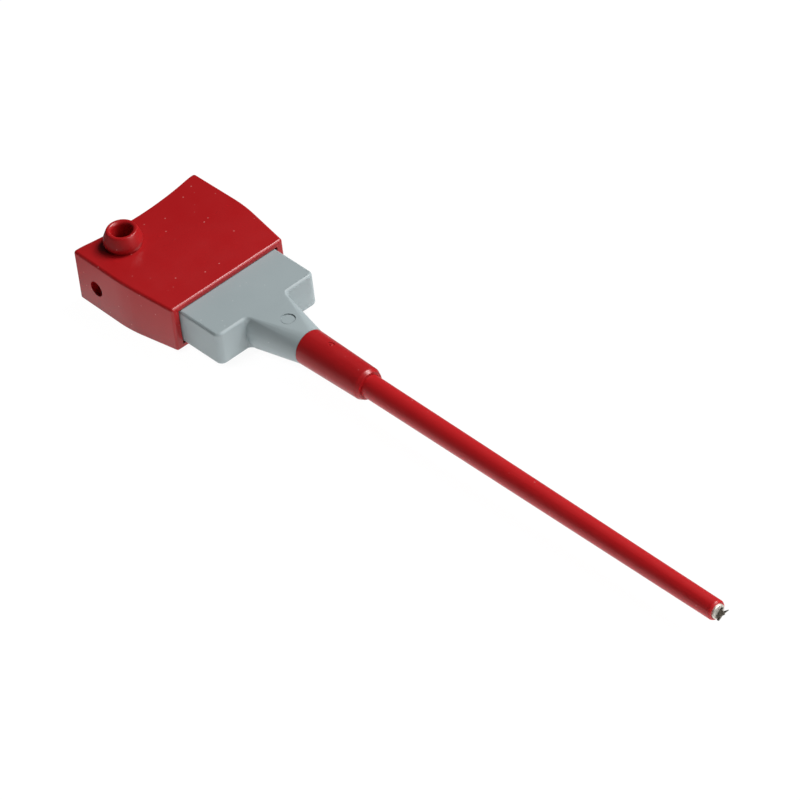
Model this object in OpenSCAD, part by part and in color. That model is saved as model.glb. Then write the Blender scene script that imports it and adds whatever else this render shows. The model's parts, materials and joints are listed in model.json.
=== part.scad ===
// Grabber test hook: a thumb cap slides on a finger grip against a spring and pushes two
// crossing claws out of the end of a long insulated shaft. It lies on the cap's flat side.
// Shaft along +X, thumb to the left, millimetres. Axial sizes are told from the cap's front rim.

/* [Thumb cap] */
// length of the cap along the shaft
cap_len = 26.8; // [25:0.1:30]
// width across the shoulder, the widest place
cap_w = 30.8; // [27:0.1:34]
// inset of each back corner from the widest place
back_in = 0.15; // [0:0.05:1]
// inset of each front corner from the widest place
front_in = 1.5; // [0.5:0.05:2]
// side wall of the cap's mouth
lip_wall = 1.55; // [1.2:0.05:2.4]
// thickness of the rear half
cap_t = 11.6; // [10.6:0.1:14]
// thickness at the front rim
cap_front_t = 10.1; // [9.6:0.1:12]
// distance of the shoulder behind the front rim
shoulder_x = 12.2; // [9:0.1:16]
// radius of the cap's outer edges
cap_edge_r = 0.6; // [0.3:0.05:0.8]
// depth of the thumb hollow in the back edge
thumb_sag = 1.7; // [0.5:0.1:1.9]
// wall behind the cavity, at the deepest place of the thumb hollow
cap_back_wall = 1.1; // [0.9:0.1:1.5]

/* [Socket] */
// bore of the socket for a test lead plug
plug_bore_d = 4; // [3.8:0.05:4.4]
// outside of the brass socket sleeve
sleeve_od = 6; // [5.4:0.1:6.4]
// distance of the socket axis behind the front rim
socket_x = 21; // [20.2:0.1:21.2]
// distance of the socket axis to the side of the shaft
socket_y = 7.5; // [6.8:0.1:8]
// height of the boss over the cap
boss_h = 3.6; // [2:0.1:6]
// widest diameter of the boss
boss_d = 7.3; // [7:0.1:9]
// rim diameter of the boss
boss_rim_d = 6; // [5.6:0.1:6.8]
// height of the widest place of the boss over the cap
boss_belly_h = 0.9; // [0.6:0.1:1.6]
// diameter of the wire entry in the cap's side
entry_d = 3.3; // [1.6:0.1:3.6]
// height of the wire entry under the shaft's axis
entry_drop = 0.4; // [0:0.1:1]

/* [Finger grip] */
// thickness of the grip
grip_t = 7.5; // [6.6:0.1:7.6]
// distance of the wings' front face ahead of the cap's rim
wing_x = 10.75; // [9.6:0.05:13]
// length of the grip that sits in the cap at rest
grip_in = 9; // [7.6:0.1:9]
// radius of the grip's edges
grip_edge_r = 0.7; // [0.3:0.05:0.9]
// radius of the wings' outer corners, seen from above
wing_r = 1.4; // [1:0.1:2]
// width of the neck at the wings
neck_w = 9.4; // [8:0.1:12]
// length of the neck
neck_len = 11.65; // [9:0.05:14]
// how far the neck's sides stand out at mid height, where its two mould halves meet
neck_bulge = 0.8; // [0:0.1:1.2]
// radius in the corner of wing and neck
neck_fillet_r = 1; // [0.6:0.1:2]
// diameter of the round mark on the neck
mark_d = 3; // [2:0.1:4]
// depth of the round mark
mark_deep = 0.2; // [0.05:0.01:0.25]

/* [Shaft] */
// length of the collar
collar_len = 16.6; // [15:0.1:22]
// rear diameter of the collar
collar_rear_d = 7.2; // [6.6:0.1:9]
// front diameter of the collar
collar_front_d = 6.56; // [6.2:0.02:8]
// chamfer at the front of the collar
collar_chamfer = 1; // [0.2:0.1:1.4]
// distance of the sunk gate mark from the collar's rear
gate_x = 5.6; // [3:0.1:10]
// diameter of the gate mark
gate_d = 1.3; // [0.8:0.1:2]
// free length of the shaft tube, collar to tip
tube_free = 90.15; // [70:0.05:140]
// diameter of the tube at the collar
tube_root_d = 4.64; // [4.4:0.02:5]
// diameter of the tube at its tip
tube_tip_d = 3.74; // [3.6:0.02:4.2]
// bore of the tube
tube_bore_d = 2.96; // [2.92:0.02:3.1]

/* [Drive] */
// travel of the cap
travel = 8; // [4:0.1:8]
// diameter of the drive rod
rod_d = 1.6; // [1.2:0.05:1.7]
// diameter of the drive wire
wire_d = 1.2; // [0.8:0.05:1.3]
// wire diameter of the return spring
spring_wire_d = 0.5; // [0.3:0.05:0.6]
// mean diameter of the return spring
spring_d = 4.3; // [3.6:0.1:4.4]
// turns of the return spring
spring_turns = 13; // [8:1:14]
// length of the claw heads in front of the tube
claw_head = 1.65; // [1.4:0.05:2.4]
// turn of the claws' plane about the shaft
claw_turn = 40; // [0:1:90]
// thickness of a claw strip
claw_t = 0.32; // [0.24:0.02:0.34]
// width of a claw strip
claw_w = 0.45; // [0.35:0.05:0.45]

/* [Node] */
// node that is drawn

/* [Hidden] */

fit = 0.05;                                    // running clearance of turned pieces, on the radius
seat = 0.02;                                   // clearance of pieces that are seated together
slide = 0.2;                                   // clearance of the grip in the cap, each side
eps = 0.01;                                    // overlap that keeps cuts clean

cap_back = -cap_len;
cap_back_w = cap_w - 2 * back_in;
cap_front_w = cap_w - 2 * front_in;
grip_w = cap_front_w - 2 * (lip_wall + slide); // over the two finger wings, which slide in the mouth
cap_floor = cap_t / 2;                         // half thickness of the rear half
shoulder_soft = 2.6;                           // half length of the soft bend at the shoulder
bend_steps = [0:0.25:1];                       // stations along that bend
cavity_z = grip_t / 2 + slide;                 // half height of the cavity
mouth_y = grip_w / 2 + slide;                  // half width of the mouth
lip_len = 5.6;                                 // length of the narrow mouth
lug_h = 0.75;                                  // snap lug over the grip's side
lug_gap = 0.15;                                // free play of the lugs behind the lip
cavity_y = mouth_y + lug_h + 0.25;             // half width of the cavity behind the lip
cavity_back = cap_back + thumb_sag + cap_back_wall;
thumb_r = (pow(cap_back_w / 2, 2) + pow(thumb_sag, 2)) / (2 * thumb_sag);

anchor_r = 2.5;
anchor_len = 3.4;
web_front = cavity_back + anchor_len;          // front of the moulded web that holds socket and anchor
strap_t = 0.5;
strap_x = web_front + seat;
washer_t = 0.6;
washer_r = spring_d / 2 + spring_wire_d / 2 + 0.1;
rear_washer_x = strap_x + strap_t + seat;
spring_back = rear_washer_x + washer_t + seat;
pocket_r = washer_r + fit;
pocket_end = wing_x - 3.45;                    // bottom of the spring pocket in the grip
front_washer_x = pocket_end - washer_t - seat;
spring_front = front_washer_x - seat;
stop_front = -grip_in - travel - 0.3;          // front of the posts that stop the cap

sleeve_r = sleeve_od / 2;
sleeve_bot = -cavity_z + seat;
sleeve_top = cavity_z - seat;
boss_top = cap_floor + boss_h;
plug_r = plug_bore_d / 2;
entry_r = entry_d / 2;
entry_seat = socket_y + sleeve_r + 0.7;        // where the wire entry narrows, outside the sleeve
entry_through_r = min(entry_r - 0.3, 1);       // narrow end of the wire entry, into the sleeve

bush_len = 5;
bush_r = 1.8;
rod_r = rod_d / 2;
wire_r = wire_d / 2;
collar_x = wing_x + neck_len;
collar_front = collar_x + collar_len;
mark_x = wing_x + neck_len * 0.52;             // the round mark sits on the neck's sloping top
mark_top = grip_t / 2 - (grip_t - collar_rear_d) / 2 * 0.52;
mark_line = 0.24;                              // width of that mark's ring
spigot_r = tube_root_d / 2 - seat;
spigot_end = collar_x + 9.3;
tube_x = spigot_end + 0.2;
tube_r = tube_root_d / 2;
tube_tip_r = tube_tip_d / 2;
tube_end = collar_front + tube_free;
bore_r = tube_bore_d / 2;
duct_r = bore_r - 0.18;                        // bore of grip neck and spigot
gate_turn = 12;                                // turn of the gate mark off the top
gate_deep = 0.26;                              // sunk ring round the broken-off gate
crimp_r = duct_r - 0.12;
rod_end = collar_x + 2.3;
crimp_back = rod_end - 4;
crimp_front = rod_end + 3;
liner_x = crimp_front + travel + 1;
claw_len = 9.4;                                // from where the claws flex to the tube's end
ferrule_len = 4.5;
tip_len = claw_len + ferrule_len + 0.6;        // reaches behind the claw ferrule
tip_x = tube_end - tip_len;
tip_proud = 0.42;                              // bright end of the tip sleeve past the tube
guide_len = 0.9;                               // slotted end of the tip sleeve, inside the tube
tip_r = bore_r - 0.42;                         // bore of the tip sleeve
liner_end = tip_x - seat;

pivot_x = tube_end - claw_len;
ferrule_r = tip_r - 0.1;
ferrule_back = pivot_x - ferrule_len;
ferrule_front = pivot_x + 0.35;
wire_end = ferrule_back + 3;
claw_gap = 0.02;                               // from the claws' middle plane to each claw
claw_drop = 0.26;                              // of the claws' middle plane from the shaft's axis
claw_in = 0.04;                                // inner side of a claw stem from the axis
claw_y = claw_in + claw_w / 2;
claw_back = 0.52;                              // hook's rear side in front of the tube end
claw_tip = tube_end + claw_head;
slot_y = claw_in + claw_w + 0.52;              // half width of the slot, room for the spreading stems

x_mid = (cap_back + claw_tip) / 2;             // origin under the middle of the whole length

module place() translate([-x_mid, 0, cap_floor]) children();
module along(x) translate([x, 0, 0]) rotate([0, 90, 0]) children();
module rod(r, x0, x1) along(x0) cylinder(r = r, h = x1 - x0, $fn = 48);
module tube(ro, ri, x0, x1) difference() {
    rod(ro, x0, x1);
    rod(ri, x0 - 1, x1 + 1);
}
module block(x0, x1, y0, y1, z0, z1) translate([x0, y0, z0]) cube([x1 - x0, y1 - y0, z1 - z0]);
module slab(x0, x1, hy, hz) block(x0, x1, -hy, hy, -hz, hz);
module claw_plane() rotate([claw_turn, 0, 0]) translate([0, 0, -claw_drop]) children();
module corners(x, hy, hz, r) for (sy = [-1, 1], sz = [-1, 1])
    translate([x, sy * (hy - r), sz * (hz - r)]) sphere(r = r, $fn = 32);

// size at station u of the bend, which goes over from full to the straight taper to front
function bent(full, front, u) = full - (full - front) * shoulder_soft / shoulder_x * u * u;

module cap_outside() difference() {
    hull() {
        corners(cap_back + cap_edge_r, cap_back_w / 2, cap_floor, cap_edge_r);
        for (u = bend_steps)
            corners(-shoulder_x + shoulder_soft * (2 * u - 1), bent(cap_w, cap_front_w, u) / 2,
                    bent(cap_t, cap_front_t, u) / 2, cap_edge_r);
        corners(-cap_edge_r, cap_front_w / 2, cap_front_t / 2, cap_edge_r);
    }
    translate([cap_back + thumb_sag - thumb_r, 0, -cap_t])
        cylinder(r = thumb_r, h = 2 * cap_t, $fn = 180);
}

module boss() translate([-socket_x, -socket_y, cap_floor]) rotate_extrude($fn = 72) polygon([
    [0, -0.4], [boss_d / 2 - 0.35, -0.4], [boss_d / 2 - 0.35, 0], [boss_d / 2 - 0.1, boss_belly_h * 0.45],
    [boss_d / 2, boss_belly_h], [boss_d / 2 - 0.06, boss_belly_h + 0.5],
    [boss_rim_d / 2 + 0.06, boss_h - 0.4], [boss_rim_d / 2 - 0.02, boss_h - 0.2],
    [boss_rim_d / 2 - 0.14, boss_h - 0.06], [boss_rim_d / 2 - 0.3, boss_h], [0, boss_h]]);

module cap_inside() {
    slab(cavity_back, -lip_len, cavity_y, cavity_z);
    slab(-lip_len - eps, 1, mouth_y, cavity_z);
}

module cap_web() {
    slab(cavity_back - eps, web_front, cavity_y + eps, cavity_z + eps);
    block(web_front - eps, -socket_x + entry_r + 1.1, -cavity_y - eps, -socket_y - sleeve_r,
          -cavity_z - eps, cavity_z + eps);
    for (s = [-1, 1])
        block(web_front - eps, stop_front, s * (mouth_y - 0.5) - 0.7, s * (mouth_y - 0.5) + 0.7,
              -cavity_z - eps, cavity_z + eps);
}

module socket_pocket() {
    translate([-socket_x, -socket_y, -cavity_z]) cylinder(r = sleeve_r + seat, h = 2 * cavity_z, $fn = 64);
    block(-socket_x, web_front + 1, -socket_y - sleeve_r - seat, -socket_y + sleeve_r + seat,
          -cavity_z, cavity_z);
}

module thumb_cap() color([0.62, 0.08, 0.1]) place() difference() {
    union() {
        difference() {
            cap_outside();
            cap_inside();
        }
        cap_web();
        boss();
    }
    socket_pocket();
    rod(anchor_r + seat, cavity_back, web_front + 1);
    translate([-socket_x, -socket_y, 0]) cylinder(r = plug_r, h = boss_top + 1, $fn = 64);
    translate([-socket_x, -entry_seat, -entry_drop]) rotate([90, 0, 0]) cylinder(r = entry_r, h = cap_w, $fn = 48);
    translate([-socket_x, -socket_y, -entry_drop]) rotate([90, 0, 0])
        cylinder(r = entry_through_r, h = cap_w, $fn = 48);
}

module socket_sleeve() color([0.8, 0.65, 0.3]) place() difference() {
    translate([-socket_x, -socket_y, sleeve_bot])
        cylinder(r = sleeve_r, h = sleeve_top - sleeve_bot, $fn = 64);
    translate([-socket_x, -socket_y, sleeve_bot - 1])
        cylinder(r = plug_r, h = 2 * cavity_z + 2, $fn = 64);
    translate([-socket_x, -socket_y, -entry_drop]) rotate([90, 0, 0])
        cylinder(r = entry_through_r, h = cap_w, $fn = 48);
}

module contact_strap() color([0.8, 0.65, 0.3]) place() difference() {
    union() {
        rod(anchor_r - 0.1, strap_x, strap_x + strap_t);
        block(strap_x, strap_x + strap_t, -socket_y, 0, -1.5, 1.5);
    }
    rod(rod_r + seat, strap_x - 1, strap_x + strap_t + 1);
    translate([-socket_x, -socket_y, -cavity_z]) cylinder(r = sleeve_r + eps, h = 2 * cavity_z, $fn = 64);
}

module rod_anchor() color([0.8, 0.65, 0.3]) place() difference() {
    rod(anchor_r, cavity_back + seat, web_front);
    rod(rod_r + eps, cavity_back + 0.8, web_front + 1);
}

module rear_washer() color([0.7, 0.7, 0.72]) place()
    tube(washer_r, rod_r + fit, rear_washer_x, rear_washer_x + washer_t);

module front_washer() color([0.7, 0.7, 0.72]) place()
    tube(washer_r, rod_r + fit, front_washer_x, front_washer_x + washer_t);

coil_sides = 8;
coil_steps = 16;
coil_len = spring_front - spring_back - spring_wire_d;
function coil_frac(t) = (t < 1 ? 0 : t > spring_turns - 1 ? 1 : (t - 1) / (spring_turns - 2));
function coil_lift(t) = let (shut = spring_wire_d * 1.04)
    (t < 1 ? t * shut : t > spring_turns - 1 ? coil_len - (spring_turns - t) * shut
     : shut + coil_frac(t) * (coil_len - 2 * shut));
function coil_point(i, k) = let (
    t = i / coil_steps, a = 360 * t, b = 360 * k / coil_sides,
    r = spring_d / 2 + spring_wire_d / 2 * cos(b))
    [coil_lift(t) + spring_wire_d / 2 * sin(b), r * cos(a), r * sin(a)];

module return_spring() color([0.72, 0.72, 0.74]) place() {
    n = spring_turns * coil_steps;
    translate([spring_back + spring_wire_d / 2, 0, 0]) polyhedron(
        points = [for (i = [0:n], k = [0:coil_sides - 1]) coil_point(i, k)],
        faces = concat(
            [[for (k = [0:coil_sides - 1]) k]],
            [for (i = [0:n - 1], k = [0:coil_sides - 1]) let (q = (k + 1) % coil_sides)
                [i * coil_sides + k, (i + 1) * coil_sides + k, (i + 1) * coil_sides + q, i * coil_sides + q]],
            [[for (k = [coil_sides - 1:-1:0]) n * coil_sides + k]]));
}

module guide_bush() color([0.8, 0.65, 0.3]) place()
    tube(bush_r, rod_r + fit, pocket_end, pocket_end + bush_len);

// outline of wings and neck root from above, with its corners rounded both ways
module grip_plan() offset(r = -neck_fillet_r, $fn = 40) offset(delta = neck_fillet_r)
    offset(r = wing_r, $fn = 40) offset(delta = -wing_r) {
        translate([-grip_in, -grip_w / 2]) square([grip_in + wing_x, grip_w]);
        translate([0, -neck_w / 2]) square([wing_x + neck_fillet_r + 2 * wing_r, neck_w]);
    }

module grip_bar() minkowski() {
    translate([0, 0, grip_edge_r - grip_t / 2]) linear_extrude(height = grip_t - 2 * grip_edge_r)
        offset(delta = -grip_edge_r) intersection() {
            grip_plan();
            translate([-grip_in, -grip_w / 2]) square([grip_in + wing_x + neck_fillet_r, grip_w]);
        }
    sphere(r = grip_edge_r, $fn = 20);
}

module grip_neck() hull() {
    for (sy = [-1, 1], u = [-1:0.25:1])
        translate([wing_x - 1, sy * (neck_w / 2 - grip_edge_r + neck_bulge * (1 - u * u)),
                   u * (grip_t / 2 - grip_edge_r)])
            along(0) cylinder(r = grip_edge_r, h = 1 + neck_fillet_r, $fn = 20);
    along(collar_x - seat - 0.4) cylinder(d = collar_rear_d, h = 0.4, $fn = 72);
}

module grip_lugs() for (s = [-1, 1]) mirror([0, s > 0 ? 0 : 1, 0])
    translate([0, 0, -grip_t / 2 + 1]) linear_extrude(height = grip_t - 2) polygon([
        [-grip_in + 0.6, grip_w / 2 - 0.5], [-grip_in + 0.6, grip_w / 2],
        [-lip_len - lug_gap - 0.8, grip_w / 2 + lug_h], [-lip_len - lug_gap, grip_w / 2 + lug_h],
        [-lip_len - lug_gap, grip_w / 2 - 0.5]]);

module finger_grip() color([0.58, 0.62, 0.63]) place() difference() {
    union() {
        grip_bar();
        grip_neck();
        grip_lugs();
        rod(spigot_r, collar_x - 1, spigot_end);
    }
    for (s = [-1, 1])
        block(-grip_in - 1, -0.8, s * (grip_w / 2 - 1.5) - 0.5, s * (grip_w / 2 - 1.5) + 0.5, -grip_t, grip_t);
    rod(pocket_r, -grip_in - 1, pocket_end);
    rod(bush_r + seat, pocket_end - 1, pocket_end + bush_len + seat);
    rod(duct_r, pocket_end + 1, spigot_end + 1);
    translate([mark_x, 0, mark_top - mark_deep]) difference() {
        cylinder(d = mark_d, h = 2, $fn = 48);
        cylinder(d = mark_d - 2 * mark_line, h = 4, center = true, $fn = 48);
    }
}

module collar() color([0.62, 0.08, 0.1]) place() difference() {
    along(collar_x) rotate_extrude($fn = 96) polygon([
        [0, 0], [collar_rear_d / 2 - 0.1, 0], [collar_rear_d / 2, 0.1],
        [collar_front_d / 2, collar_len - collar_chamfer],
        [collar_front_d / 2 - collar_chamfer * 0.42, collar_len], [0, collar_len]]);
    rod(tube_r + seat, collar_x - 1, collar_front + 1);
    rotate([-gate_turn, 0, 0]) translate([collar_x + gate_x, 0, collar_rear_d / 2 - gate_deep])
        difference() {
            cylinder(d = gate_d, h = 2, $fn = 32);
            cylinder(d1 = gate_d * 0.55, d2 = gate_d * 0.3, h = gate_deep * 0.8, $fn = 24);
        }
}

module shaft_tube() color([0.65, 0.1, 0.12]) place() difference() {
    along(tube_x) rotate_extrude($fn = 96) polygon([
        [0, 0], [tube_r, 0], [tube_r, collar_front - tube_x],
        [tube_tip_r + 0.1, tube_end - tube_x - 0.35], [tube_tip_r - 0.1, tube_end - tube_x], [0, tube_end - tube_x]]);
    rod(bore_r, tube_x - 1, tube_end + 1);
}

module inner_liner() color([0.92, 0.9, 0.86]) place() tube(bore_r - seat, wire_r + 0.15, liner_x, liner_end);

module tip_sleeve() color([0.82, 0.82, 0.8]) place() difference() {
    along(tip_x) rotate_extrude($fn = 64) polygon([
        [0, 0], [bore_r - seat, 0], [bore_r - seat, tip_len + tip_proud - 0.16],
        [bore_r - seat - 0.16, tip_len + tip_proud], [0, tip_len + tip_proud]]);
    rod(tip_r, tip_x - 1, tube_end - guide_len);
    claw_plane() slab(tube_end - guide_len - eps, tube_end + 2, slot_y, claw_gap + claw_t + fit);
}

module drive_rod() color([0.7, 0.7, 0.72]) place() rod(rod_r, cavity_back + 0.8 + seat, rod_end);

module wire_crimp() color([0.8, 0.65, 0.3]) place() difference() {
    rod(crimp_r, crimp_back, crimp_front);
    rod(rod_r + eps, crimp_back - 1, rod_end);
    rod(wire_r + eps, crimp_back, crimp_front + 1);
}

module drive_wire() color([0.6, 0.6, 0.62]) place() rod(wire_r, rod_end + seat, wire_end - seat);

module claw_ferrule() color([0.7, 0.7, 0.72]) place() difference() {
    rod(ferrule_r, ferrule_back, ferrule_front);
    rod(wire_r + eps, ferrule_back - 1, wire_end);
    claw_plane() slab(pivot_x - claw_w / 2 - 0.2, ferrule_front + 1, 2, claw_gap + claw_t + seat);
}

// heads of the claws in front of the tube, for a head k times 1.65 mm long
function far_head(k) = [[claw_back, -0.72], [0.6 * k, -1.14], [0.82 * k, -0.85], [1.33 * k, -0.23],
    [claw_head, 0.2], [1.3 * k, 0.46], [0.78 * k, 0.62], [claw_back, 0.62]];
function near_head(k) = [[0.74 * k, -0.3], [0.95 * k, -0.56], [claw_head, -1.24], [1.46 * k, -0.8],
    [1.26 * k, -0.36], [1.08 * k, 0.3], [1.02 * k, 0.95], [0.96 * k, 1.38], [0.66 * k, 1.42], [claw_back, 1.1]];

// one claw, flat: a flexing stem with a round root and a hook that crosses the axis
module claw(side, head) claw_plane() mirror([0, side > 0 ? 0 : 1, 0])
    translate([0, 0, side > 0 ? claw_gap : -claw_gap - claw_t]) {
        translate([pivot_x, claw_y, 0]) cylinder(d = claw_w + 0.06, h = claw_t, $fn = 32);
        linear_extrude(height = claw_t) polygon(concat(
            [[pivot_x, claw_in], [tube_end + claw_back, claw_in]],
            [for (q = head) [tube_end + q[0], q[1]]],
            [[tube_end + claw_back, claw_in + claw_w], [pivot_x, claw_in + claw_w]]));
    }

module claw_near() color([0.35, 0.35, 0.36]) place() claw(-1, near_head(claw_head / 1.65));
module claw_far() color([0.35, 0.35, 0.36]) place() claw(1, far_head(claw_head / 1.65));

thumb_cap();
socket_sleeve();
contact_strap();
rod_anchor();
rear_washer();
return_spring();
front_washer();
guide_bush();
finger_grip();
collar();
shaft_tube();
inner_liner();
tip_sleeve();
drive_rod();
wire_crimp();
drive_wire();
claw_ferrule();
claw_near();
claw_far();
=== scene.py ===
import bpy, bmesh, json, math
from mathutils import Matrix, Vector


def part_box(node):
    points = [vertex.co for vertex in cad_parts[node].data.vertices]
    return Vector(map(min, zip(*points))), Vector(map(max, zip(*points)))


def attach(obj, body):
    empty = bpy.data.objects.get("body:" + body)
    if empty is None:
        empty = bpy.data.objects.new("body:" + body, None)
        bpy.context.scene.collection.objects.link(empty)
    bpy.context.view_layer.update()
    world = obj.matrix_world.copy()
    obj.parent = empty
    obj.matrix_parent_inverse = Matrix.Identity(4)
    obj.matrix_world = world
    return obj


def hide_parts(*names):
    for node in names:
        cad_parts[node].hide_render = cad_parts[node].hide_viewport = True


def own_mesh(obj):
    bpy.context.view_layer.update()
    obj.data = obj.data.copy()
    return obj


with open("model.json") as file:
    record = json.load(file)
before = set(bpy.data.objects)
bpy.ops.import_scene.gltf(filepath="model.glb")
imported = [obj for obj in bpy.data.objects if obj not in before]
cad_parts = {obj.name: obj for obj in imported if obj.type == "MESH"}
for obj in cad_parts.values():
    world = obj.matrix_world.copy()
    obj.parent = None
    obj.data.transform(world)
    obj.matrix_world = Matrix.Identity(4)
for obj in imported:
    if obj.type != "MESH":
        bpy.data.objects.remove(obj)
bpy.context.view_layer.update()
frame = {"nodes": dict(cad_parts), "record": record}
scene = bpy.context.scene
print("stage: frame loaded")


# short ways to place the nodes that come up again and again

def reckon(tree, operation, a, b=0):              # a and b are numbers or outputs of other nodes
    node = tree.nodes.new("ShaderNodeMath")
    node.operation = operation
    for socket, value in zip(node.inputs, (a, b)):
        if isinstance(value, (int, float)):
            socket.default_value = value
        else:
            tree.links.new(value, socket)
    return node.outputs[0]


def noise(tree, vector, scale, detail):
    node = tree.nodes.new("ShaderNodeTexNoise")
    node.inputs["Scale"].default_value = scale
    node.inputs["Detail"].default_value = detail
    tree.links.new(vector, node.inputs["Vector"])
    return node.outputs["Fac"]


def remap(tree, value, fromSpan, toSpan, clamp=True):
    node = tree.nodes.new("ShaderNodeMapRange")
    node.clamp = clamp
    node.inputs["From Min"].default_value, node.inputs["From Max"].default_value = fromSpan
    node.inputs["To Min"].default_value, node.inputs["To Max"].default_value = toSpan
    tree.links.new(value, node.inputs["Value"])
    return node.outputs["Result"]


def mixColors(tree, factor, a, b):
    node = tree.nodes.new("ShaderNodeMix")
    node.data_type = "RGBA"
    for name, value in (("Factor", factor), ("A", a), ("B", b)):
        tree.links.new(value, node.inputs[name])
    return node.outputs["Result"]


def newMaterial(name):
    mat = bpy.data.materials.new(name)
    mat.use_nodes = True
    tree = mat.node_tree
    tree.nodes.clear()
    out = tree.nodes.new("ShaderNodeOutputMaterial")
    shader = tree.nodes.new("ShaderNodeBsdfPrincipled")
    tree.links.new(shader.outputs["BSDF"], out.inputs["Surface"])
    coord = tree.nodes.new("ShaderNodeTexCoord")
    return mat, tree, shader, coord.outputs["Object"]


# shared effect: moulded plastic skin, with flow tone, dust specks, handled patches and fine grain

skinPattern = {
    "flowScale": 85.0, "flowDetail": 3.0, "flowSpan": (0.3, 0.7),
    "speckScale": 620.0, "speckRare": 0.55, "speckSize": (0.05, 0.11), "speckStrength": 0.55,
    "hazeScale": 260.0, "hazeDetail": 1.0, "hazeSpan": (0.35, 0.7), "hazeDull": (-0.015, 0.025),
    "grainScale": 5200.0, "grainDetail": 2.0, "grainDepth": 0.00003,
}


def mouldedSkinGroup():
    group = bpy.data.node_groups.new("mouldedSkin", "ShaderNodeTree")
    inputs = {"Vector": "Vector", "Base": "Color", "Pale": "Color", "Dust": "Color", "Tone": "Float",
              "Rough": "Float", "Grain": "Float"}
    outputs = {"Color": "Color", "Roughness": "Float", "Normal": "Vector"}
    for way, sockets in (("INPUT", inputs), ("OUTPUT", outputs)):
        for name, kind in sockets.items():
            group.interface.new_socket(name, in_out=way, socket_type="NodeSocket" + kind)
    given = group.nodes.new("NodeGroupInput").outputs
    result = group.nodes.new("NodeGroupOutput").inputs
    links, look = group.links, skinPattern

    # broad tone of the melt's flow
    flow = noise(group, given["Vector"], look["flowScale"], look["flowDetail"])
    flowShare = reckon(group, "MULTIPLY", remap(group, flow, look["flowSpan"], (0, 1)), given["Tone"])
    tone = mixColors(group, flowShare, given["Base"], given["Pale"])

    # sparse dust specks
    speck = group.nodes.new("ShaderNodeTexVoronoi")
    speck.inputs["Scale"].default_value = look["speckScale"]
    links.new(given["Vector"], speck.inputs["Vector"])
    draw = group.nodes.new("ShaderNodeSeparateColor")
    links.new(speck.outputs["Color"], draw.inputs["Color"])
    rare = reckon(group, "GREATER_THAN", draw.outputs["Red"], look["speckRare"])
    near = remap(group, speck.outputs["Distance"], look["speckSize"], (1, 0))
    speckShare = reckon(group, "MULTIPLY", reckon(group, "MULTIPLY", rare, near), look["speckStrength"])
    links.new(mixColors(group, speckShare, tone, given["Dust"]), result["Color"])

    # handled patches, a little duller
    haze = noise(group, given["Vector"], look["hazeScale"], look["hazeDetail"])
    dull = remap(group, haze, look["hazeSpan"], look["hazeDull"], clamp=False)
    links.new(reckon(group, "ADD", given["Rough"], dull), result["Roughness"])

    # fine spark-eroded grain
    grain = noise(group, given["Vector"], look["grainScale"], look["grainDetail"])
    bump = group.nodes.new("ShaderNodeBump")
    bump.inputs["Distance"].default_value = look["grainDepth"]
    links.new(given["Grain"], bump.inputs["Strength"])
    links.new(grain, bump.inputs["Height"])
    links.new(bump.outputs["Normal"], result["Normal"])
    return group


mouldedSkin = mouldedSkinGroup()

capPlastic = {"Base": (0.37, 0.0062, 0.0082, 1), "Pale": (0.43, 0.014, 0.017, 1),
              "Dust": (0.72, 0.3, 0.28, 1), "Tone": 0.16, "Rough": 0.32, "Grain": 0.02}
collarPlastic = {"Base": (0.365, 0.0066, 0.0088, 1), "Pale": (0.42, 0.016, 0.019, 1),
                 "Dust": (0.6, 0.2, 0.2, 1), "Tone": 0.16, "Rough": 0.32, "Grain": 0.02}
tubePlastic = {"Base": (0.43, 0.0078, 0.0105, 1), "Pale": (0.49, 0.019, 0.022, 1),
               "Dust": (0.62, 0.22, 0.22, 1), "Tone": 0.16, "Rough": 0.32, "Grain": 0.02}
gripPlastic = {"Base": (0.304, 0.356, 0.368, 1), "Pale": (0.36, 0.415, 0.425, 1),
               "Dust": (0.55, 0.58, 0.58, 1), "Tone": 0.25, "Rough": 0.45, "Grain": 0.2}
linerPlastic = {"Base": (0.76, 0.73, 0.66, 1), "Pale": (0.9, 0.88, 0.84, 1),
                "Dust": (0.6, 0.58, 0.54, 1), "Tone": 0.2, "Rough": 0.45, "Grain": 0.3}


def plasticMaterial(name, look):
    mat, tree, shader, place = newMaterial(name)
    skin = tree.nodes.new("ShaderNodeGroup")
    skin.node_tree = mouldedSkin
    tree.links.new(place, skin.inputs["Vector"])
    for socket, value in look.items():
        skin.inputs[socket].default_value = value
    tree.links.new(skin.outputs["Color"], shader.inputs["Base Color"])
    tree.links.new(skin.outputs["Roughness"], shader.inputs["Roughness"])
    tree.links.new(skin.outputs["Normal"], shader.inputs["Normal"])
    return mat


drawnMarks = {"stretch": (0.12, 1.0, 1.0), "detail": 4.0, "darkAt": 0.32, "lightAt": 0.68,
              "smoother": 0.07, "duller": 0.1, "bump": 0.2, "depth": 0.00003}
brassLook = {"dark": (0.52, 0.34, 0.12, 1), "light": (0.78, 0.58, 0.28, 1),
             "rough": 0.26, "metal": 1.0, "scale": 900.0}
steelLook = {"dark": (0.4, 0.4, 0.41, 1), "light": (0.62, 0.62, 0.63, 1),
             "rough": 0.28, "metal": 1.0, "scale": 900.0}
nickelLook = {"dark": (0.84, 0.79, 0.7, 1), "light": (0.95, 0.92, 0.85, 1),
              "rough": 0.5, "metal": 0.75, "scale": 700.0}
clawLook = {"dark": (0.06, 0.05, 0.038, 1), "light": (0.19, 0.165, 0.135, 1),
            "rough": 0.4, "metal": 0.4, "scale": 1600.0}


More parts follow.
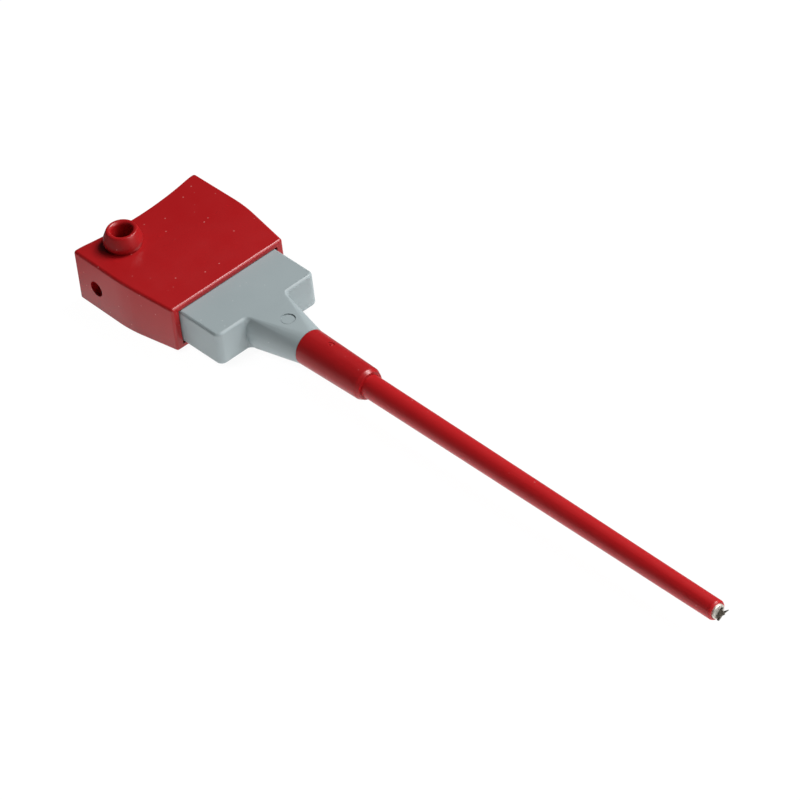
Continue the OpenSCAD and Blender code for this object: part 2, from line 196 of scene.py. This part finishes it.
def metalMaterial(name, look):
    mat, tree, shader, place = newMaterial(name)
    stretch = tree.nodes.new("ShaderNodeMapping")     # drawing marks run along the shaft
    stretch.inputs["Scale"].default_value = drawnMarks["stretch"]
    tree.links.new(place, stretch.inputs["Vector"])
    marks = noise(tree, stretch.outputs["Vector"], look["scale"], drawnMarks["detail"])
    tint = tree.nodes.new("ShaderNodeValToRGB")
    for stop, at, color in zip(tint.color_ramp.elements, ("darkAt", "lightAt"), ("dark", "light")):
        stop.position = drawnMarks[at]
        stop.color = look[color]
    tree.links.new(marks, tint.inputs["Fac"])
    tree.links.new(tint.outputs["Color"], shader.inputs["Base Color"])
    roughSpan = (look["rough"] - drawnMarks["smoother"], look["rough"] + drawnMarks["duller"])
    tree.links.new(remap(tree, marks, (0, 1), roughSpan), shader.inputs["Roughness"])
    bump = tree.nodes.new("ShaderNodeBump")
    bump.inputs["Strength"].default_value = drawnMarks["bump"]
    bump.inputs["Distance"].default_value = drawnMarks["depth"]
    tree.links.new(marks, bump.inputs["Height"])
    tree.links.new(bump.outputs["Normal"], shader.inputs["Normal"])
    shader.inputs["Metallic"].default_value = look["metal"]
    return mat


capRed = plasticMaterial("capRed", capPlastic)
collarRed = plasticMaterial("collarRed", collarPlastic)
tubeRed = plasticMaterial("tubeRed", tubePlastic)
gripGrey = plasticMaterial("gripGrey", gripPlastic)
linerCream = plasticMaterial("linerCream", linerPlastic)
contactBrass = metalMaterial("contactBrass", brassLook)
drawnSteel = metalMaterial("drawnSteel", steelLook)
nickelPlate = metalMaterial("nickelPlate", nickelLook)
clawSteel = metalMaterial("clawSteel", clawLook)
print("stage: materials ready")


# a smooth copy of a solid stands for its node: merged, reshaped, flats dissolved, hard edges eased

dressing = {"merge": 0.000012, "flatAngle": 0.4, "sharpAngle": 28, "easeSteps": 3, "flatWeight": 100}


def dressNode(node, body, slot, mat, ease=0, reshape=None):
    mesh = frame["nodes"][node].data.copy()
    sharp, flat = math.radians(dressing["sharpAngle"]), math.radians(dressing["flatAngle"])
    bm = bmesh.new()
    bm.from_mesh(mesh)
    bmesh.ops.remove_doubles(bm, verts=bm.verts, dist=dressing["merge"])   # also closes steps too fine to see
    if reshape:
        reshape(bm)
    bmesh.ops.dissolve_limit(bm, angle_limit=flat, verts=bm.verts, edges=bm.edges)
    for f in bm.faces:
        f.smooth = True
    for e in bm.edges:
        e.smooth = len(e.link_faces) == 2 and e.calc_face_angle(0) < sharp
    bm.to_mesh(mesh)
    bm.free()
    mesh.name = node + "Dressed"
    mesh.materials.clear()
    mesh.materials.append(mat)
    obj = bpy.data.objects.new(node + "Dressed", mesh)
    scene.collection.objects.link(obj)
    if ease:                                      # at 0 the solid's own edges are left as they are
        bevel = obj.modifiers.new("easedEdges", "BEVEL")
        bevel.width = ease
        bevel.segments = dressing["easeSteps"]
        bevel.limit_method = "ANGLE"
        bevel.angle_limit = sharp
    shade = obj.modifiers.new("flatFaces", "WEIGHTED_NORMAL")   # broad flats stay flat, edges turn softly
    shade.keep_sharp = True
    shade.weight = dressing["flatWeight"]
    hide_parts(node)
    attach(obj, body)


def setMaterial(node, mat):
    data = frame["nodes"][node].data
    data.materials.clear()
    data.materials.append(mat)


# the boss on the cap, drawn up from the cap's top as a barrel with a rounded, flared mouth;
# each pair is a radius and a height over the cap's top, in mm

socketBoss = {
    "outside": ((3.58, 0.14), (3.6, 0.36), (3.72, 0.66), (3.82, 0.98), (3.82, 1.36), (3.7, 1.9),
                (3.48, 2.45), (3.26, 2.95), (3.12, 3.25), (3.04, 3.42), (2.95, 3.54), (2.83, 3.6)),
    "inside": ((2.0, 2.85), (2.05, 3.1), (2.15, 3.3), (2.3, 3.46), (2.48, 3.56), (2.66, 3.6)),
    "betweenRims": 0.0026, "cutAbove": 0.00001,
}


def shapeBoss(bm):
    mount = [m for m in frame["record"]["mounts"] if m["name"] == "plug_socket"][0]
    axisX, axisY = mount["pos_m"][:2]
    lo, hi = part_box("shaft_tube")
    capTop = lo[2] + hi[2]                        # the cap is as high over the shaft as it is deep under it
    cutZ = capTop + socketBoss["cutAbove"]
    bmesh.ops.bisect_plane(bm, geom=bm.verts[:] + bm.edges[:] + bm.faces[:], plane_co=(0, 0, cutZ),
                           plane_no=(0, 0, 1), clear_outer=True)
    rims = {"outside": [], "inside": []}
    for e in bm.edges:
        if e.is_boundary:
            spot = (e.verts[0].co + e.verts[1].co) / 2
            away = math.hypot(spot.x - axisX, spot.y - axisY)
            rims["outside" if away > socketBoss["betweenRims"] else "inside"].append(e)
    toAxis = Matrix.Translation((-axisX, -axisY, 0))
    for side, edges in rims.items():
        first = edges[0].verts[0].co
        radius, height = math.hypot(first.x - axisX, first.y - axisY), cutZ
        for newRadius, newHeight in socketBoss[side]:
            drawn = bmesh.ops.extrude_edge_only(bm, edges=edges)["geom"]
            verts = [g for g in drawn if isinstance(g, bmesh.types.BMVert)]
            edges = [g for g in drawn if isinstance(g, bmesh.types.BMEdge) and g.is_boundary]
            grow = newRadius / 1000 / radius
            rise = capTop + newHeight / 1000 - height
            bmesh.ops.scale(bm, vec=(grow, grow, 1), space=toAxis, verts=verts)
            bmesh.ops.translate(bm, vec=(0, 0, rise), verts=verts)
            radius, height = newRadius / 1000, height + rise
        rims[side] = edges
    bmesh.ops.bridge_loops(bm, edges=rims["outside"] + rims["inside"])
    bmesh.ops.recalc_face_normals(bm, faces=bm.faces)


# the grip's bar and its neck share one level top, and the round mark on the neck is a sunk disc

gripTop = {"within": 0.00003, "close": 0.000004,
           "markX": -0.035192, "markR": 0.00138, "markAbove": 0.0093, "markSink": 0.00015}


def shapeGripTop(bm):
    top = max(v.co.z for v in bm.verts)
    near = [v for v in bm.verts if top - v.co.z < gripTop["within"]]
    bmesh.ops.scale(bm, vec=(1, 1, 0), space=Matrix.Translation((0, 0, -top)), verts=near)
    disc = [v for v in bm.verts if v.co.z > gripTop["markAbove"]
            and math.hypot(v.co.x - gripTop["markX"], v.co.y) < gripTop["markR"]]
    bmesh.ops.translate(bm, vec=(0, 0, -gripTop["markSink"]), verts=disc)
    bmesh.ops.dissolve_degenerate(bm, dist=gripTop["close"], edges=bm.edges)


dressed = {
    "thumb_cap": {"body": "plunger", "slot": "red_plastic", "mat": capRed, "reshape": shapeBoss},
    "finger_grip": {"body": "grip", "slot": "grey_plastic", "mat": gripGrey, "reshape": shapeGripTop},
    "collar": {"body": "grip", "slot": "red_plastic", "mat": collarRed},
    "shaft_tube": {"body": "grip", "slot": "red_plastic", "mat": tubeRed, "ease": 0.00006},
    "tip_sleeve": {"body": "grip", "slot": "nickel", "mat": nickelPlate},
    "claw_near": {"body": "near_claw", "slot": "claw_steel", "mat": clawSteel, "ease": 0.00003},
    "claw_far": {"body": "far_claw", "slot": "claw_steel", "mat": clawSteel, "ease": 0.00003},
}
for node, how in dressed.items():
    dressNode(node, **how)
plainNodes = {"socket_sleeve": contactBrass, "contact_strap": contactBrass, "rod_anchor": contactBrass,
              "guide_bush": contactBrass, "wire_crimp": contactBrass, "rear_washer": drawnSteel,
              "front_washer": drawnSteel, "drive_rod": drawnSteel, "drive_wire": drawnSteel,
              "claw_ferrule": nickelPlate, "inner_liner": linerCream}
for node, mat in plainNodes.items():
    setMaterial(node, mat)
print("stage: pieces dressed")


# the return spring as a smooth coil

coilSpring = {"turns": 13, "steps": 40, "sides": 14, "wireR": 0.00025, "shut": 1.04}


def makeSpring():
    lo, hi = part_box("return_spring")
    wireR, steps = coilSpring["wireR"], coilSpring["steps"]
    coilR = (hi[1] - lo[1]) / 2 - wireR
    midY, midZ = (lo[1] + hi[1]) / 2, (lo[2] + hi[2]) / 2
    openTurns = coilSpring["turns"] - 2
    shut = 2 * wireR * coilSpring["shut"]         # rise of the closed turn at each end
    openRise = hi[0] - lo[0] - 2 * wireR - 2 * shut
    bm = bmesh.new()
    start = Matrix.Translation((lo[0] + wireR, midY + coilR, midZ))
    bmesh.ops.create_circle(bm, segments=coilSpring["sides"], radius=wireR, matrix=start)
    ring = list(bm.edges)
    for turns, rise in ((1, shut), (openTurns, openRise), (1, shut)):
        wound = bmesh.ops.spin(bm, geom=ring, cent=(0, midY, midZ), axis=(1, 0, 0), angle=math.tau * turns,
                               steps=turns * steps, dvec=(rise / (turns * steps), 0, 0))
        ring = [g for g in wound["geom_last"] if isinstance(g, bmesh.types.BMEdge)]
    for f in bm.faces:
        f.smooth = True
    bmesh.ops.holes_fill(bm, edges=bm.edges, sides=0)
    bmesh.ops.recalc_face_normals(bm, faces=bm.faces)
    mesh = bpy.data.meshes.new("springCoil")
    bm.to_mesh(mesh)
    bm.free()
    mesh.materials.append(drawnSteel)
    obj = bpy.data.objects.new("springCoil", mesh)
    scene.collection.objects.link(obj)
    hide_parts("return_spring")
    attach(obj, "grip")
    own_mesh(obj)


makeSpring()
print("stage: spring wound")


# pale floor, white dome, soft lamps and the camera

studio = {"floorSize": 3.0, "floorColor": (0.9, 0.9, 0.9, 1), "domeLevel": 0.035, "backdropLevel": 1.0,
          "seenShare": 0.94, "mirrorGlow": 0.95, "glowReach": 0.014, "halfLength": 0.079,
          "narrowsOverX": (-0.044, -0.034), "capHalf": 0.0154, "tubeHalf": 0.0023}


def floorMaterial():
    mat = bpy.data.materials.new("floorWhite")
    mat.use_nodes = True
    tree = mat.node_tree
    nodes, links = tree.nodes, tree.links
    nodes.clear()
    out = nodes.new("ShaderNodeOutputMaterial")
    mix = nodes.new("ShaderNodeMixShader")
    matt = nodes.new("ShaderNodeBsdfDiffuse")
    matt.inputs["Color"].default_value = studio["floorColor"]
    glow = nodes.new("ShaderNodeEmission")
    path = nodes.new("ShaderNodeLightPath")
    camera = path.outputs["Is Camera Ray"]
    mirror = reckon(tree, "MAXIMUM", path.outputs["Is Glossy Ray"], path.outputs["Is Transmission Ray"])
    seen = reckon(tree, "MULTIPLY", camera, studio["seenShare"])
    links.new(reckon(tree, "ADD", seen, mirror), mix.inputs["Fac"])

    # painted reflection: in mirrors the paper glows beside the object, and less further out, which puts a
    # bright reflection on the object's lower sides
    coord = nodes.new("ShaderNodeTexCoord")
    place = nodes.new("ShaderNodeSeparateXYZ")
    links.new(coord.outputs["Object"], place.inputs["Vector"])
    halves = (studio["capHalf"], studio["tubeHalf"])
    halfWidth = remap(tree, place.outputs["X"], studio["narrowsOverX"], halves)
    beside = reckon(tree, "SUBTRACT", reckon(tree, "ABSOLUTE", place.outputs["Y"]), halfWidth)
    beyond = reckon(tree, "SUBTRACT", reckon(tree, "ABSOLUTE", place.outputs["X"]), studio["halfLength"])
    away = reckon(tree, "ADD", reckon(tree, "MAXIMUM", beside), reckon(tree, "MAXIMUM", beyond))
    fade = reckon(tree, "EXPONENT", reckon(tree, "MULTIPLY", away, -1 / studio["glowReach"]))
    mirrored = reckon(tree, "MULTIPLY", fade, studio["mirrorGlow"])
    links.new(reckon(tree, "MAXIMUM", camera, mirrored), glow.inputs["Strength"])

    links.new(matt.outputs["BSDF"], mix.inputs[1])
    links.new(glow.outputs["Emission"], mix.inputs[2])
    links.new(mix.outputs["Shader"], out.inputs["Surface"])
    return mat


def makeFloor():
    bm = bmesh.new()
    bmesh.ops.create_grid(bm, x_segments=1, y_segments=1, size=studio["floorSize"])
    mesh = bpy.data.meshes.new("floor")
    bm.to_mesh(mesh)
    bm.free()
    mesh.materials.append(floorMaterial())
    floor = bpy.data.objects.new("floor", mesh)
    scene.collection.objects.link(floor)
    return floor


def makeWorld():
    world = bpy.data.worlds.new("studio")
    scene.world = world
    world.use_nodes = True
    nodes, links = world.node_tree.nodes, world.node_tree.links
    nodes.clear()
    out = nodes.new("ShaderNodeOutputWorld")
    mix = nodes.new("ShaderNodeMixShader")
    path = nodes.new("ShaderNodeLightPath")
    links.new(path.outputs["Is Camera Ray"], mix.inputs["Fac"])
    # the light on the object, then what the camera sees past the floor
    for slot, level in ((1, studio["domeLevel"]), (2, studio["backdropLevel"])):
        sky = nodes.new("ShaderNodeBackground")
        sky.inputs["Color"].default_value = (1, 1, 1, 1)
        sky.inputs["Strength"].default_value = level
        links.new(sky.outputs["Background"], mix.inputs[slot])
    links.new(mix.outputs["Shader"], out.inputs["Surface"])


lamps = {
    "keyBox": {"at": (0.1, 0.5, 0.72), "aim": (-0.02, 0, 0.01), "side": 0.34, "power": 8.0},
    "frontBox": {"at": (0.45, 0.22, 0.36), "aim": (-0.03, 0, 0.01), "side": 0.42, "power": 1.9},
    "floorWash": {"at": (0, -0.5, 0.6), "aim": (0, 0, 0), "side": 0.5, "power": 8.2},
}


def softbox(name, at, aim, side, power):
    light = bpy.data.lights.new(name, "AREA")
    light.shape = "SQUARE"
    light.size = side
    light.energy = power
    obj = bpy.data.objects.new(name, light)
    obj.location = at
    obj.rotation_euler = (Vector(aim) - Vector(at)).to_track_quat("-Z", "Y").to_euler()
    scene.collection.objects.link(obj)
    return obj


photoView = {"sensor": 36.0, "lens": 270.3, "nearest": 0.05, "at": (0.647425, -0.5085, 0.7253),
             "right": (0.6743, 0.7325, -0.0937), "down": (0.4368, -0.4979, -0.7492),
             "ahead": (-0.5954, 0.4643, -0.6557)}


def makeCamera():
    cam = bpy.data.cameras.new("photoCamera")
    cam.sensor_width = photoView["sensor"]
    cam.lens = photoView["lens"]
    cam.clip_start = photoView["nearest"]
    obj = bpy.data.objects.new("photoCamera", cam)
    right, down, ahead = (Vector(photoView[way]) for way in ("right", "down", "ahead"))
    turn = Matrix((right, -down, -ahead)).transposed().to_4x4()
    obj.matrix_world = Matrix.Translation(photoView["at"]) @ turn
    scene.collection.objects.link(obj)
    scene.camera = obj


floor = makeFloor()
makeWorld()
boxes = {name: softbox(name, **how) for name, how in lamps.items()}
washed = bpy.data.collections.new("washed")       # one lamp lights only the paper, which lifts the lower sides
washed.objects.link(floor)
boxes["floorWash"].light_linking.receiver_collection = washed
makeCamera()
scene.view_settings.view_transform = "Standard"
print("stage: camera and light set")
